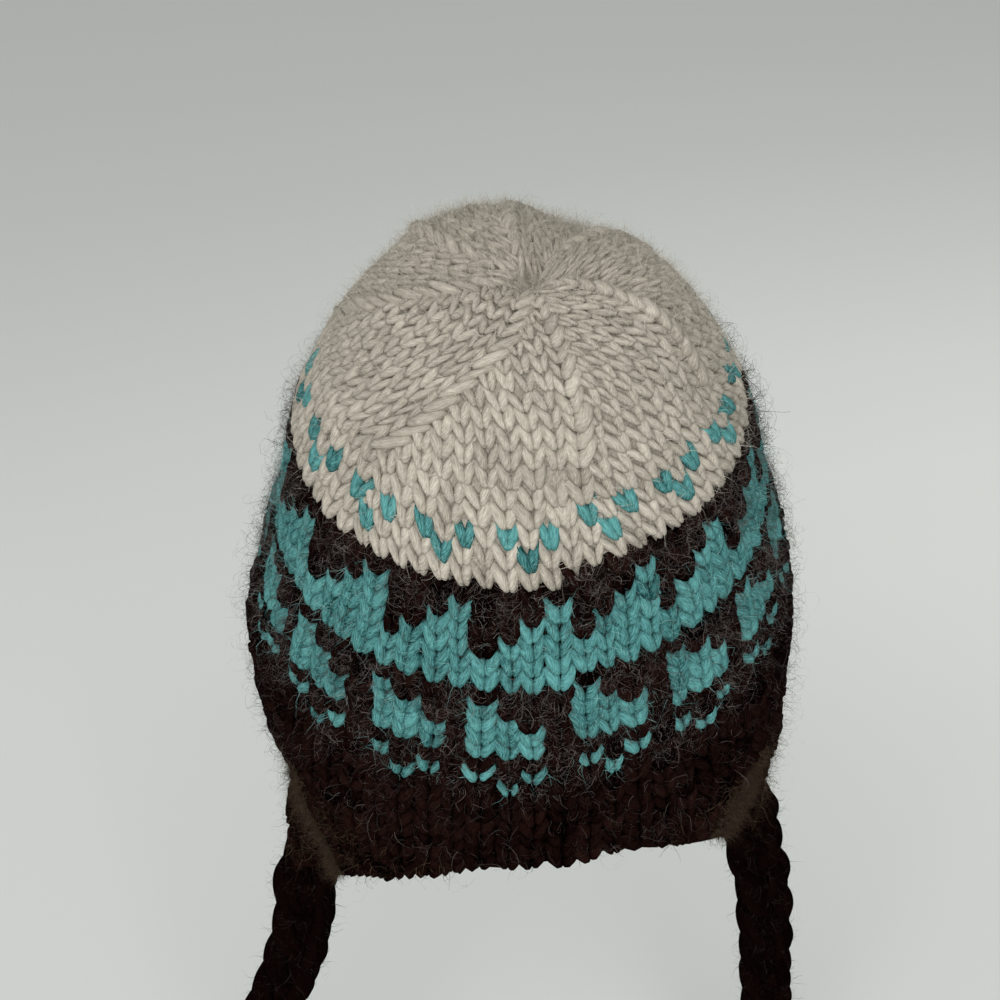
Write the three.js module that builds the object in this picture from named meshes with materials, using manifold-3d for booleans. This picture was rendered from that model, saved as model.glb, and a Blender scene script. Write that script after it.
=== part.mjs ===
// A knitted chullo: a cream crown closed by seven wedges of decreases, a brown and turquoise band that ends
// in the rim, two ear flaps and two braided ties with knotted ends. Millimetres, +Z up, +Y to the face.
// The origin is the centre of the head opening, in the plane of the rim.
import * as THREE from "three";
import { mergeVertices } from "three/addons/utils/BufferGeometryUtils.js";
import Module from "manifold-3d";

const wasm = await Module();
wasm.setup();

// Driving sizes
const WALL = 6; // thickness of the knitted fabric
const GAP = 0.3; // clearance between neighbouring pieces
const OVAL = 1.05; // front-to-back size over side-to-side size
const WEDGES = 7; // wedges of decreases that close the crown
const COLUMNS_PER_WEDGE = 8; // facets across one wedge
const FIRST_SEAM = -19; // plan angle of the first seam between wedges, degrees from +X
const SEAM_DEPTH = 1.6; // how deep the seams lie in the crown
const SLOUCH = 5.3; // how far the top of the crown leans to +X
const CROWN_EDGE = 106; // height of the line where cream wool meets brown
const RIM_RADIUS = 95; // half the width of the rim

// The outer profile from the top of the crown to the rim: half width, height, and how far the section's centre
// lies behind the origin.
const SECTIONS = [
  { radius: 0.0, height: 171.6, behind: 17.9 },
  { radius: 10.0, height: 171.0, behind: 14.8 },
  { radius: 19.8, height: 169.0, behind: 12.0 },
  { radius: 29.1, height: 165.6, behind: 9.5 },
  { radius: 37.6, height: 160.4, behind: 7.2 },
  { radius: 44.6, height: 153.3, behind: 5.3 },
  { radius: 50.4, height: 145.1, behind: 3.7 },
  { radius: 60.7, height: 128.0, behind: 1.3 },
  { radius: 69.5, height: 110.1, behind: 0.2 },
  { radius: 76.6, height: 91.4, behind: 0.0 },
  { radius: 82.1, height: 72.2, behind: 0.0 },
  { radius: 86.6, height: 52.8, behind: 0.0 },
  { radius: 90.5, height: 33.2, behind: 0.0 },
  { radius: 93.8, height: 13.5, behind: 0.0 },
  { radius: RIM_RADIUS, height: 0.0, behind: 0.0 },
];

// Soft dents (-) and bulges (+) of the wall: plan angle from +X, height, push and spread.
const DENTS = [
  { angle: 43, height: 150, push: -2.2, spreadAngle: 26, spreadHeight: 30 },
  { angle: 101, height: 157, push: 2.2, spreadAngle: 26, spreadHeight: 30 },
  { angle: 159, height: 72, push: -2.0, spreadAngle: 22, spreadHeight: 34 },
  { angle: 6, height: 40, push: 1.7, spreadAngle: 22, spreadHeight: 34 },
];

// The flap's outer half width at each drop below the rim.
const FLAP_DROP = 105; // rim to tip
const FLAP_SECTIONS = [
  { drop: 0, radius: RIM_RADIUS },
  { drop: 20, radius: 96.2 },
  { drop: 45, radius: 96.8 },
  { drop: 70, radius: 94.6 },
  { drop: 90, radius: 92 },
  { drop: FLAP_DROP, radius: 90 },
];
// Angles are measured round the rim from the middle of the back towards either side.
const FLAP_BACK = 10; // where the flap leaves the rim at the back
const FLAP_FRONT = 140; // where it leaves the rim at the front
const FLAP_TIP = 85; // middle of the tip
const FLAP_TIP_HALF = 8; // half the width of the tip, as an angle
const FLAP_CURVE = 0.71; // below 1 the slanted edges bow inwards, towards the tip
const FLAP_COLUMNS = 18;
const FLAP_ROWS = 10;
// The upright fold that stands out of each flap, from the rim to the slanted back edge.
const FOLD = { topAngle: 61, lowAngle: 50, lowDrop: 51, height: 2.0, halfWidth: 5 };

const TIE_DIAMETER = 22;
const TIE_SIDES = 10;
const TIE_STEPS = 18;
// The routes of the braids from the tips of the flaps to their knots.
const TIE_ROUTES = {
  tie_left: [
    [-89.0, -8.5, -105.65],
    [-89.0, -8.5, -110],
    [-89.4, -8.7, -116],
    [-91.0, -9.2, -125],
    [-93.2, -9.8, -138],
    [-95.0, -10, -151],
    [-97.2, -10, -165],
    [-100.6, -10, -180],
    [-105.0, -10, -195],
    [-110.2, -10, -211],
    [-116.0, -10, -227],
    [-121.0, -10, -243],
    [-125.2, -10, -260],
    [-128.4, -9.8, -278],
    [-130.6, -9.4, -297],
    [-131.8, -9, -317],
    [-132.2, -8.6, -338],
    [-132.2, -8.2, -360],
  ],
  tie_right: [
    [88.5, -8.5, -105.65],
    [88.5, -8.5, -110],
    [88.9, -8.2, -116],
    [90.4, -7.4, -126],
    [92.6, -6.6, -140],
    [95.2, -6.1, -156],
    [98.4, -6, -172],
    [101.8, -6, -190],
    [104.2, -6, -208],
    [105.8, -6, -226],
    [107.2, -6, -244],
    [108.8, -6, -263],
    [110.6, -6, -282],
    [112.2, -6, -300],
    [113.4, -6, -318],
    [114.2, -6, -337],
    [114.6, -6, -356],
    [114.8, -6, -376],
  ],
};

const KNOT_RADIUS = 14.5;
const KNOT_HEIGHT = 24;
const LOCKS = 7; // yarn ends round the middle one
const LOCK_LENGTH = 46;
const LOCK_RADIUS = 4.6;
const LOCK_SPREAD = 12; // how far the outer locks' ends stand from the middle

const WOOL = {
  cream: { color: 0xb9b09d, roughness: 0.95, metalness: 0 },
  brown: { color: 0x2a1712, roughness: 0.95, metalness: 0 },
};

const radians = THREE.MathUtils.degToRad;

// A smooth value through the rows of a table, by a cubic whose slopes never overshoot the rows.
function tableCurve(rows, keyOf, valueOf) {
  const x = rows.map(keyOf);
  const y = rows.map(valueOf);
  const slope = y.slice(1).map((v, i) => (v - y[i]) / (x[i + 1] - x[i]));
  const tangent = y.map((_, i) => {
    const before = slope[Math.max(i - 1, 0)];
    const after = slope[Math.min(i, slope.length - 1)];
    return before * after <= 0 ? 0 : (2 * before * after) / (before + after);
  });
  return (at) => {
    let i = x.findIndex((v) => v > at) - 1;
    if (i < 0) i = at <= x[0] ? 0 : x.length - 2;
    const width = x[i + 1] - x[i];
    const t = THREE.MathUtils.clamp((at - x[i]) / width, 0, 1);
    const rise = t * t * (3 - 2 * t);
    return (
      y[i] * (1 - rise) +
      y[i + 1] * rise +
      width * (tangent[i] * t * (1 - t) ** 2 - tangent[i + 1] * t * t * (1 - t))
    );
  };
}

// Distance along the profile at each section, the parameter that runs from the top of the crown to the rim.
const profileRows = SECTIONS.map((section) => ({ ...section, along: 0 }));
profileRows.forEach((row, i) => {
  if (i === 0) return;
  const above = profileRows[i - 1];
  row.along = above.along + Math.hypot(row.radius - above.radius, row.height - above.height);
});
const profileLength = profileRows.at(-1).along;
const along = (row) => row.along;
const radiusAt = tableCurve(profileRows, along, (row) => row.radius);
const heightAt = tableCurve(profileRows, along, (row) => row.height);
const behindAt = tableCurve(profileRows, along, (row) => row.behind);
const crownEdgeAlong = tableCurve(profileRows, (row) => -row.height, along)(-CROWN_EDGE);
const topHeight = SECTIONS[0].height;

const wrapDegrees = (angle) => THREE.MathUtils.euclideanModulo(angle + 180, 360) - 180;
const bell = (offset, spread) => Math.exp(-((offset / spread) ** 2));

// A point of the smooth outer wall, at a distance along the profile and a plan angle in degrees.
function capPoint(distance, angle) {
  const radius = radiusAt(distance);
  const height = heightAt(distance);
  return new THREE.Vector3(
    radius * Math.cos(radians(angle)) + (SLOUCH * height) / topHeight,
    OVAL * radius * Math.sin(radians(angle)) - behindAt(distance),
    height,
  );
}

// The outward direction of the smooth wall, from its slopes along the profile and round the section. The edge of
// the rim is level, so the direction there is level too.
function capNormal(distance, angle) {
  const step = 0.5;
  const near = THREE.MathUtils.clamp(distance, 2, profileLength - step);
  const down = capPoint(near + step, angle).sub(capPoint(near - step, angle));
  const round = capPoint(near, angle + step).sub(capPoint(near, angle - step));
  const normal = down.cross(round);
  if (distance === profileLength) normal.setZ(0);
  return normal.normalize();
}

// How far the outer wall stands off the smooth one: dents, and the seams that fade out at the crown's edge and top.
function capRelief(distance, angle) {
  const height = heightAt(distance);
  let relief = 0;
  for (const dent of DENTS) {
    relief +=
      dent.push *
      bell(wrapDegrees(angle - dent.angle), dent.spreadAngle) *
      bell(height - dent.height, dent.spreadHeight);
  }
  if (distance < crownEdgeAlong) {
    const wedge = 360 / WEDGES;
    const seam = THREE.MathUtils.euclideanModulo(angle - FIRST_SEAM, wedge) / wedge;
    const closeness = Math.abs(2 * seam - 1) ** 4;
    relief -= SEAM_DEPTH * closeness * Math.sin((Math.PI * distance) / crownEdgeAlong) ** 0.7;
  }
  return relief;
}

// A closed wall between two grids of points with the same rows and columns. Rows that lie on one point close
// to it, and a grid that runs right round joins its last column to its first.
function wallGeometry(outer, inner, runsRound) {
  const rows = outer.length;
  const columns = outer[0].length;
  const points = [...outer.flat(), ...inner.flat()];
  const at = (side, row, column) => side * rows * columns + row * columns + (column % columns);
  const triangles = [];
  const quad = (a, b, c, d) => {
    for (const [p, q, r] of [
      [a, b, c],
      [a, c, d],
    ]) {
      const same = [
        [p, q],
        [q, r],
        [r, p],
      ].some(([m, n]) => points[m].distanceTo(points[n]) < 1e-6);
      if (!same) triangles.push(p, q, r);
    }
  };
  const lastColumn = runsRound ? columns : columns - 1;
  for (let row = 0; row < rows - 1; row++) {
    for (let column = 0; column < lastColumn; column++) {
      quad(at(0, row, column), at(0, row + 1, column), at(0, row + 1, column + 1), at(0, row, column + 1));
      quad(at(1, row, column), at(1, row, column + 1), at(1, row + 1, column + 1), at(1, row + 1, column));
    }
    if (!runsRound) {
      quad(at(0, row, 0), at(1, row, 0), at(1, row + 1, 0), at(0, row + 1, 0));
      const end = columns - 1;
      quad(at(0, row, end), at(0, row + 1, end), at(1, row + 1, end), at(1, row, end));
    }
  }
  for (let column = 0; column < lastColumn; column++) {
    quad(at(0, 0, column), at(0, 0, column + 1), at(1, 0, column + 1), at(1, 0, column));
    const end = rows - 1;
    quad(at(0, end, column), at(1, end, column), at(1, end, column + 1), at(0, end, column + 1));
  }
  const geometry = new THREE.BufferGeometry();
  geometry.setAttribute(
    "position",
    new THREE.Float32BufferAttribute(
      points.flatMap((point) => point.toArray()),
      3,
    ),
  );
  geometry.setIndex(triangles);
  return mergeVertices(geometry);
}

// The wall of the cap between two distances along the profile, in the given number of rows.
function capWall(from, to, rows) {
  const columns = WEDGES * COLUMNS_PER_WEDGE;
  const outer = [];
  const inner = [];
  for (let row = 0; row <= rows; row++) {
    const distance = from + ((to - from) * row) / rows;
    const outerRow = [];
    const innerRow = [];
    for (let column = 0; column < columns; column++) {
      const turn = distance === 0 ? 0 : column;
      const angle = FIRST_SEAM + (360 * turn) / columns;
      const point = capPoint(distance, angle);
      const normal = distance === 0 ? new THREE.Vector3(0, 0, 1) : capNormal(distance, angle);
      outerRow.push(point.clone().addScaledVector(normal, capRelief(distance, angle)));
      innerRow.push(point.clone().addScaledVector(normal, -WALL));
    }
    outer.push(outerRow);
    inner.push(innerRow);
  }
  return wallGeometry(outer, inner, true);
}

const flapRadiusAt = tableCurve(
  FLAP_SECTIONS,
  (row) => row.drop,
  (row) => row.radius,
);

// A point of a flap's wall at a drop below the rim and an angle from the middle of the back. The side is -1 on the
// left and 1 on the right, and the offset moves the point out of the wall.
function flapPoint(side, drop, angle, offset) {
  const radius = flapRadiusAt(drop) + offset;
  return new THREE.Vector3(
    side * radius * Math.sin(radians(angle)),
    -OVAL * radius * Math.cos(radians(angle)),
    -GAP - drop,
  );
}

// The fold's height at a drop and an angle: a rounded ridge that leans back as it goes down.
function foldHeight(drop, angle) {
  const middle = FOLD.topAngle + ((FOLD.lowAngle - FOLD.topAngle) * drop) / FOLD.lowDrop;
  const reach = THREE.MathUtils.smoothstep(FOLD.lowDrop + 14 - drop, 0, 14);
  const start = THREE.MathUtils.smoothstep(drop, 0, 12);
  return FOLD.height * bell(angle - middle, FOLD.halfWidth) * reach * start;
}

// One ear flap: its slanted edges run from the rim to both sides of the tip.
function flapGeometry(side) {
  const outer = [];
  const inner = [];
  for (let row = 0; row <= FLAP_ROWS; row++) {
    const drop = (FLAP_DROP * row) / FLAP_ROWS;
    const share = (row / FLAP_ROWS) ** FLAP_CURVE;
    const back = FLAP_BACK + (FLAP_TIP - FLAP_TIP_HALF - FLAP_BACK) * share;
    const front = FLAP_FRONT + (FLAP_TIP + FLAP_TIP_HALF - FLAP_FRONT) * share;
    const outerRow = [];
    const innerRow = [];
    for (let column = 0; column <= FLAP_COLUMNS; column++) {
      const across = side < 0 ? column : FLAP_COLUMNS - column;
      const angle = back + ((front - back) * across) / FLAP_COLUMNS;
      outerRow.push(flapPoint(side, drop, angle, foldHeight(drop, angle)));
      innerRow.push(flapPoint(side, drop, angle, -WALL));
    }
    outer.push(outerRow.reverse());
    inner.push(innerRow.reverse());
  }
  return wallGeometry(outer, inner, false);
}

// The outer form of a braid: a round tube along its route.
function tieGeometry(route) {
  const path = new THREE.CatmullRomCurve3(
    route.map((point) => new THREE.Vector3(...point)),
    false,
    "centripetal",
  );
  const section = new THREE.Shape();
  for (let side = 0; side < TIE_SIDES; side++) {
    const angle = (2 * Math.PI * side) / TIE_SIDES;
    const x = (TIE_DIAMETER / 2) * Math.cos(angle);
    const y = (TIE_DIAMETER / 2) * Math.sin(angle);
    if (side === 0) section.moveTo(x, y);
    else section.lineTo(x, y);
  }
  section.closePath();
  return new THREE.ExtrudeGeometry(section, { steps: TIE_STEPS, extrudePath: path });
}

function solidOf(geometry) {
  const bare = geometry.clone();
  bare.deleteAttribute("normal");
  bare.deleteAttribute("uv");
  const merged = mergeVertices(bare, 1e-4);
  return new wasm.Manifold(
    new wasm.Mesh({
      numProp: 3,
      vertProperties: new Float32Array(merged.attributes.position.array),
      triVerts: new Uint32Array(merged.index.array),
    }),
  );
}

function geometryOf(solid) {
  const mesh = solid.getMesh();
  const geometry = new THREE.BufferGeometry();
  geometry.setAttribute("position", new THREE.BufferAttribute(mesh.vertProperties, 3));
  geometry.setIndex(new THREE.BufferAttribute(mesh.triVerts, 1));
  return geometry;
}

// The end of a tie: a rounded knot with the yarn ends fused into its underside, hanging along -Z from the origin.
function tieEndGeometry() {
  const knotProfile = [];
  const KNOT_STEPS = 6;
  for (let step = 0; step <= KNOT_STEPS; step++) {
    const turn = (Math.PI * step) / KNOT_STEPS;
    const radius = step % KNOT_STEPS === 0 ? 0 : KNOT_RADIUS * Math.sin(turn) ** 0.6;
    knotProfile.push(new THREE.Vector2(radius, -KNOT_HEIGHT / 2 - (KNOT_HEIGHT / 2) * Math.cos(turn)));
  }
  let end = solidOf(new THREE.LatheGeometry(knotProfile, 12).rotateX(Math.PI / 2));
  for (let lock = 0; lock <= LOCKS; lock++) {
    const angle = (2 * Math.PI * lock) / LOCKS;
    const spread = lock === LOCKS ? 0 : 1;
    const top = new THREE.Vector3(0, 0, -KNOT_HEIGHT * 0.6);
    const reach = new THREE.Vector3(
      spread * LOCK_SPREAD * Math.cos(angle),
      spread * LOCK_SPREAD * Math.sin(angle),
      -KNOT_HEIGHT - LOCK_LENGTH,
    ).sub(top);
    const strand = new THREE.CylinderGeometry(LOCK_RADIUS * 0.7, LOCK_RADIUS, reach.length(), 6);
    strand.translate(0, -reach.length() / 2, 0);
    strand.applyQuaternion(
      new THREE.Quaternion().setFromUnitVectors(new THREE.Vector3(0, -1, 0), reach.clone().normalize()),
    );
    strand.translate(top.x, top.y, top.z);
    end = end.add(solidOf(strand));
  }
  return geometryOf(end);
}

const hat = new THREE.Group();
const materials = Object.fromEntries(
  Object.entries(WOOL).map(([name, finish]) => [name, new THREE.MeshStandardMaterial(finish)]),
);

function addPiece(name, geometry, material) {
  const mesh = new THREE.Mesh(geometry, material);
  mesh.name = name;
  hat.add(mesh);
  return mesh;
}

addPiece("crown", capWall(0, crownEdgeAlong - GAP / 2, 11), materials.cream);
addPiece("band", capWall(crownEdgeAlong + GAP / 2, profileLength, 9), materials.brown);
addPiece("earflap_left", flapGeometry(-1), materials.brown);
addPiece("earflap_right", flapGeometry(1), materials.brown);
for (const [name, route] of Object.entries(TIE_ROUTES)) {
  addPiece(name, tieGeometry(route), materials.brown);
  const [x, y, z] = route.at(-1);
  const end = addPiece(name.replace("tie", "tie_end"), tieEndGeometry(), materials.brown);
  end.position.set(x, y, z - GAP);
}

export default hat;
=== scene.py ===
"""A hand-knitted chullo: cream crown, brown and turquoise band, ear flaps and braided ties.

Sizes are in millimetres until a mesh is laid, when they become metres in the shared frame: +Z up,
+Y to the face, the origin in the middle of the head opening.
"""

import bpy
import numpy as np
from mathutils import Matrix, Vector


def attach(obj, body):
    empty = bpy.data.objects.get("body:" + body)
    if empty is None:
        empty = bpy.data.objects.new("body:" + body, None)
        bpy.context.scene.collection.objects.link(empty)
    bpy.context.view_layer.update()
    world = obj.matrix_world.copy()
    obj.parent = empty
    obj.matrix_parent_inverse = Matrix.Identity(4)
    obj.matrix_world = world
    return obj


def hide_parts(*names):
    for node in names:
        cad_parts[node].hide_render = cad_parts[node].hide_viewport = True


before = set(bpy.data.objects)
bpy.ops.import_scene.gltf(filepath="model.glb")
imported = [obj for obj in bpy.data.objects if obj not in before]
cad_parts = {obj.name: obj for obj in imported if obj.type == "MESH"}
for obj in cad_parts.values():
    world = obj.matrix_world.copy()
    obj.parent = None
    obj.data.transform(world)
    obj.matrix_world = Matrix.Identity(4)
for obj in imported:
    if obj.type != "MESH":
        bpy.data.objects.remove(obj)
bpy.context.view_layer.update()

# The camera stands behind the hat and above it, and looks down on the crown. Its lens takes in the hat and
# the upper part of both ties.
camera = bpy.data.objects.new("camera", bpy.data.cameras.new("camera"))
camera.data.sensor_fit = "HORIZONTAL"
camera.data.sensor_width = 36.0
camera.data.lens = 60.39
camera_place = (-0.03731, -0.37708, 0.46470)
camera_right = Vector((0.99137, -0.12580, -0.03679))
camera_up = Vector((0.11660, 0.71822, 0.68597))
camera.matrix_world = Matrix.Translation(camera_place) @ Matrix(
    (camera_right, camera_up, camera_right.cross(camera_up))
).transposed().to_4x4()
bpy.context.scene.collection.objects.link(camera)
bpy.context.scene.camera = camera
bpy.context.scene.view_settings.view_transform = "Standard"

# Band: a tube of stocking stitch in dark brown wool, with turquoise stairs and dots worked in from a small
# chart, and plain rows that end in the cast-on rim. Its inside shows the purl side of the same stitches.
MM = 0.001
OVAL = 1.05  # depth of the hat over its width
WALL = 6.0  # thickness of the knitting
SLOUCH = 5.3  # how far the top leans to +X
TOP_HEIGHT = 171.6
CROWN_EDGE = 106.0  # height at which the band ends and the crown begins
# half width, height and set-back of the profile's sections, from the top of the crown to the rim
SECTIONS = np.array((
    (0.0, 171.6, 17.9), (10.0, 171.0, 14.8), (19.8, 169.0, 12.0), (29.1, 165.6, 9.5), (37.6, 160.4, 7.2),
    (44.6, 153.3, 5.3), (50.4, 145.1, 3.7), (60.7, 128.0, 1.3), (69.5, 110.1, 0.2), (76.6, 91.4, 0.0),
    (82.1, 72.2, 0.0), (86.6, 52.8, 0.0), (90.5, 33.2, 0.0), (93.8, 13.5, 0.0), (95.0, 0.0, 0.0),
))
# plan angle, height, push and the two spreads of the soft dents and bulges
DENTS = (
    (43, 150, -2.2, 26, 30), (101, 157, 2.2, 26, 30), (159, 72, -2.0, 22, 34), (6, 40, 1.7, 22, 34),
    (-12, -46, -7.0, 32, 34), (-168, -48, -10.0, 34, 36), (-172, -112, 8.0, 30, 20), (72, 155, -5.0, 40, 26),
    (-13, 70, -3.2, 28, 26), (178, 70, -3.2, 28, 26),
)
WAVE_HEIGHT = 0.55
PUCKER_DEPTH, PUCKER_RADIUS = 3.4, 6.5
STITCHES = 64
PEAK_ANGLE = -89.7  # plan angle of the chart's third column at the back
BACK_DRAW = 2.0  # degrees by which the stitches crowd together at the back and front
COLUMN_DRIFT = 0.4  # degrees by which a column stands out of its even place
SWIRL_START = 75.0  # distance from the top at which the decreases begin
ROUND_STEP = 5.6  # the knitting is one spiral, so each round ends a row below its start
TOP_FADE, RIM_FADE = 80.0, 32.0  # distances from the top and the rim over which that step grows
FIRST_COLUMN = 3  # the round starts to the right of the peak at the back
PATTERN_ROWS = 14  # rows of the chart above the plain rim
ROW_COVER = 1.12  # a stitch is taller than its row, and its lower end lies over the row below
SMALL_STITCH = 0.78
BAND_FABRIC = 2.4  # how deep the wall runs behind the stitches
PURL_HEIGHT = 0.9
# painted shade: the wall behind the stitches is darkened for the gaps between them, where it shows
FABRIC_PAINTED_SHADE = -0.25
# stitch colours over one repeat, with t for a small tight turquoise stitch, and the height of the row
BAND_CHART = (
    ("....", 5.78), ("..T.", 5.78), (".TT.", 5.78), ("TTT.", 5.78), ("TTTT", 5.78), ("TTTT", 5.78),
    ("....", 5.04), ("...T", 5.04), ("T..T", 5.04), ("TT.T", 5.04), ("TT.T", 5.04),
    ("....", 5.50), (".t.t", 5.50), ("t...", 5.50),
    ("....", 5.42), ("....", 5.42), ("....", 5.42), ("....", 5.42), ("....", 5.42), ("....", 5.42),
)


def grid_faces(rows, columns, closed_columns, copies=1):
    """Four-cornered faces of a grid of points, numbered row by row, repeated for a number of like grids.
    Closed columns join the last column to the first."""
    row = columns * np.arange(rows - 1)[:, None]
    column = np.arange(columns if closed_columns else columns - 1)[None]
    after = (column + 1) % columns
    below = row + columns
    one = np.stack((row + column, row + after, below + after, below + column), -1).reshape(-1, 4)
    return (one[None] + (np.arange(copies) * rows * columns)[:, None, None]).reshape(-1, 4)


def lay_mesh(name, points, faces, material, uv=None, tone=None):
    """Put points in millimetres and four-cornered faces into a smooth mesh object at the origin, with the
    yarn's own UV map and a tone for each point."""
    mesh = bpy.data.meshes.new(name)
    points = np.asarray(points).reshape(-1, 3)
    mesh.vertices.add(len(points))
    mesh.vertices.foreach_set("co", (points * MM).astype(np.float32).ravel())
    mesh.loops.add(faces.size)
    mesh.loops.foreach_set("vertex_index", faces.astype(np.int32).ravel())
    mesh.polygons.add(len(faces))
    mesh.polygons.foreach_set("loop_start", np.arange(0, faces.size, 4, dtype=np.int32))
    mesh.polygons.foreach_set("use_smooth", np.ones(len(faces), dtype=bool))
    mesh.update(calc_edges=True)
    if uv is not None:
        layer = mesh.uv_layers.new(name="yarn")
        corners = np.asarray(uv).reshape(-1, 2)[faces.ravel()]
        layer.data.foreach_set("uv", corners.astype(np.float32).ravel())
    if tone is not None:
        attribute = mesh.attributes.new("tone", "FLOAT", "POINT")
        attribute.data.foreach_set("value", np.asarray(tone).astype(np.float32).ravel())
    mesh.materials.append(material)
    piece = bpy.data.objects.new(name, mesh)
    bpy.context.scene.collection.objects.link(piece)
    return piece


def wool(name, shade, light, sheen, fibre_depth):
    """Soft spun wool: fine fibres run along the yarn with a slight twist, each stitch has its own tone, and
    the colour goes from the shade between the fibres to their lit side. The tone also carries the painted
    shade of the stitches and walls."""
    material = bpy.data.materials.new(name)
    material.use_nodes = True
    tree = material.node_tree
    shader = tree.nodes["Principled BSDF"]
    shader.inputs["Roughness"].default_value = 0.95
    shader.inputs["Specular IOR Level"].default_value = 0.0
    shader.inputs["Sheen Weight"].default_value = sheen
    shader.inputs["Sheen Roughness"].default_value = 0.45
    shader.inputs["Sheen Tint"].default_value = (*light, 1.0)

    place = tree.nodes.new("ShaderNodeUVMap")
    place.uv_map = "yarn"
    twist = tree.nodes.new("ShaderNodeMapping")
    twist.inputs["Rotation"].default_value = (0.0, 0.0, 0.28)
    stretch = tree.nodes.new("ShaderNodeMapping")
    stretch.inputs["Scale"].default_value = (0.22, 1.0, 1.0)
    fibres = tree.nodes.new("ShaderNodeTexNoise")
    fibres.noise_dimensions = "2D"
    fibres.inputs["Scale"].default_value = 2.4
    fibres.inputs["Detail"].default_value = 4.0
    fibres.inputs["Roughness"].default_value = 0.62
    tree.links.new(place.outputs["UV"], twist.inputs["Vector"])
    tree.links.new(twist.outputs["Vector"], stretch.inputs["Vector"])
    tree.links.new(stretch.outputs["Vector"], fibres.inputs["Vector"])

    # the tone attribute holds each stitch's own tone together with painted shade
    tone_and_painted_shade = tree.nodes.new("ShaderNodeAttribute")
    tone_and_painted_shade.attribute_name = "tone"
    strands = tree.nodes.new("ShaderNodeMapRange")
    strands.inputs["From Min"].default_value = 0.22
    strands.inputs["From Max"].default_value = 0.78
    strands.inputs["To Max"].default_value = 1.1
    blend = tree.nodes.new("ShaderNodeMath")
    blend.operation = "ADD"
    tree.links.new(fibres.outputs["Fac"], strands.inputs["Value"])
    tree.links.new(strands.outputs["Result"], blend.inputs[0])
    tree.links.new(tone_and_painted_shade.outputs["Fac"], blend.inputs[1])
    colour = tree.nodes.new("ShaderNodeMix")
    colour.data_type = "RGBA"
    colour.inputs["A"].default_value = (*shade, 1.0)
    colour.inputs["B"].default_value = (*light, 1.0)
    tree.links.new(blend.outputs["Value"], colour.inputs["Factor"])
    tree.links.new(colour.outputs["Result"], shader.inputs["Base Color"])

    relief = tree.nodes.new("ShaderNodeBump")
    relief.inputs["Strength"].default_value = 0.6
    relief.inputs["Distance"].default_value = fibre_depth * MM
    tree.links.new(fibres.outputs["Fac"], relief.inputs["Height"])
    tree.links.new(relief.outputs["Normal"], shader.inputs["Normal"])
    return material


def table_curve(x, y):
    """Cubic through the rows of a table, each row's slope the harmonic mean of the slopes beside it."""
    step = np.diff(x)
    slope = np.diff(y) / step
    before, after = np.r_[slope[0], slope], np.r_[slope, slope[-1]]
    level = before * after <= 0
    tangent = np.where(level, 0, 2 * before * after / np.where(level, 1, before + after))

    def curve(at):
        part = np.clip(np.searchsorted(x, at, "right") - 1, 0, len(step) - 1)
        t = (at - x[part]) / step[part]
        inside = np.clip(t, 0, 1)
        rise = inside * inside * (3 - 2 * inside)
        value = y[part] * (1 - rise) + y[part + 1] * rise + step[part] * (
            tangent[part] * inside * (1 - inside) ** 2 - tangent[part + 1] * inside**2 * (1 - inside)
        )
        return value + (t - inside) * step[part] * np.where(t > 1, tangent[part + 1], tangent[part])

    return curve


profile = np.r_[0.0, np.cumsum(np.hypot(np.diff(SECTIONS[:, 0]), np.diff(SECTIONS[:, 1])))]
radius_at = table_curve(profile, SECTIONS[:, 0])
height_at = table_curve(profile, SECTIONS[:, 1])
behind_at = table_curve(profile, SECTIONS[:, 2])
crown_edge = float(table_curve(-SECTIONS[:, 1], profile)(np.array(-CROWN_EDGE)))
rim_edge = profile[-1]


def cap_smooth(distance, angle):
    """Point of the smooth cap: an oval of the profile's radius at this distance from the top, leaning to +X
    with its height and set back near the top. The angle is in degrees from +X."""
    turn = np.radians(angle)
    radius, height = radius_at(distance), height_at(distance)
    return np.stack(
        (
            radius * np.cos(turn) + SLOUCH * height / TOP_HEIGHT,
            OVAL * radius * np.sin(turn) - behind_at(distance),
            height,
        ),
        -1,
    )


def dents(height, angle):
    """How far the soft dents and bulges push the wall out: each is a bell over plan angle and height."""
    push_out = 0.0
    for at, level, push, spread, rise in DENTS:
        turn = (angle - at + 180) % 360 - 180
        push_out = push_out + push * np.exp(-((turn / spread) ** 2) - ((height - level) / rise) ** 2)
    return push_out


def cap_relief(distance, angle):
    """How far the wall stands off the smooth cap: with the dents, slow waves make the hand-knitted wall
    uneven, and the top sinks into a pucker."""
    relief = dents(height_at(distance), angle)
    turn = np.radians(angle)
    fade = np.clip(distance / 40, 0, 1)
    waves = WAVE_HEIGHT * fade * np.sin(5 * turn + distance / 13) * np.sin(distance / 17 + 2 * turn)
    return relief + waves - PUCKER_DEPTH * np.exp(-((distance / PUCKER_RADIUS) ** 2))


def cap_point(distance, angle, lift):
    """Point of the cap lifted off its wall along the smooth cap's outward direction, which comes from the
    slopes down the profile and round the section."""
    step = 0.4
    near = np.maximum(distance, 1.5)
    down = cap_smooth(near + step, angle) - cap_smooth(near - step, angle)
    around = cap_smooth(near, angle + step) - cap_smooth(near, angle - step)
    outward = np.cross(down, around)
    outward /= np.linalg.norm(outward, axis=-1, keepdims=True)
    return cap_smooth(distance, angle) + outward * (lift + cap_relief(distance, angle))[..., None]


def degrees_across(distance, angle):
    """Degrees of plan angle in one millimetre round the oval."""
    turn = np.radians(angle)
    return np.degrees(1.0) / (
        np.maximum(radius_at(distance), 0.8) * np.hypot(np.sin(turn), OVAL * np.cos(turn))
    )


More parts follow.
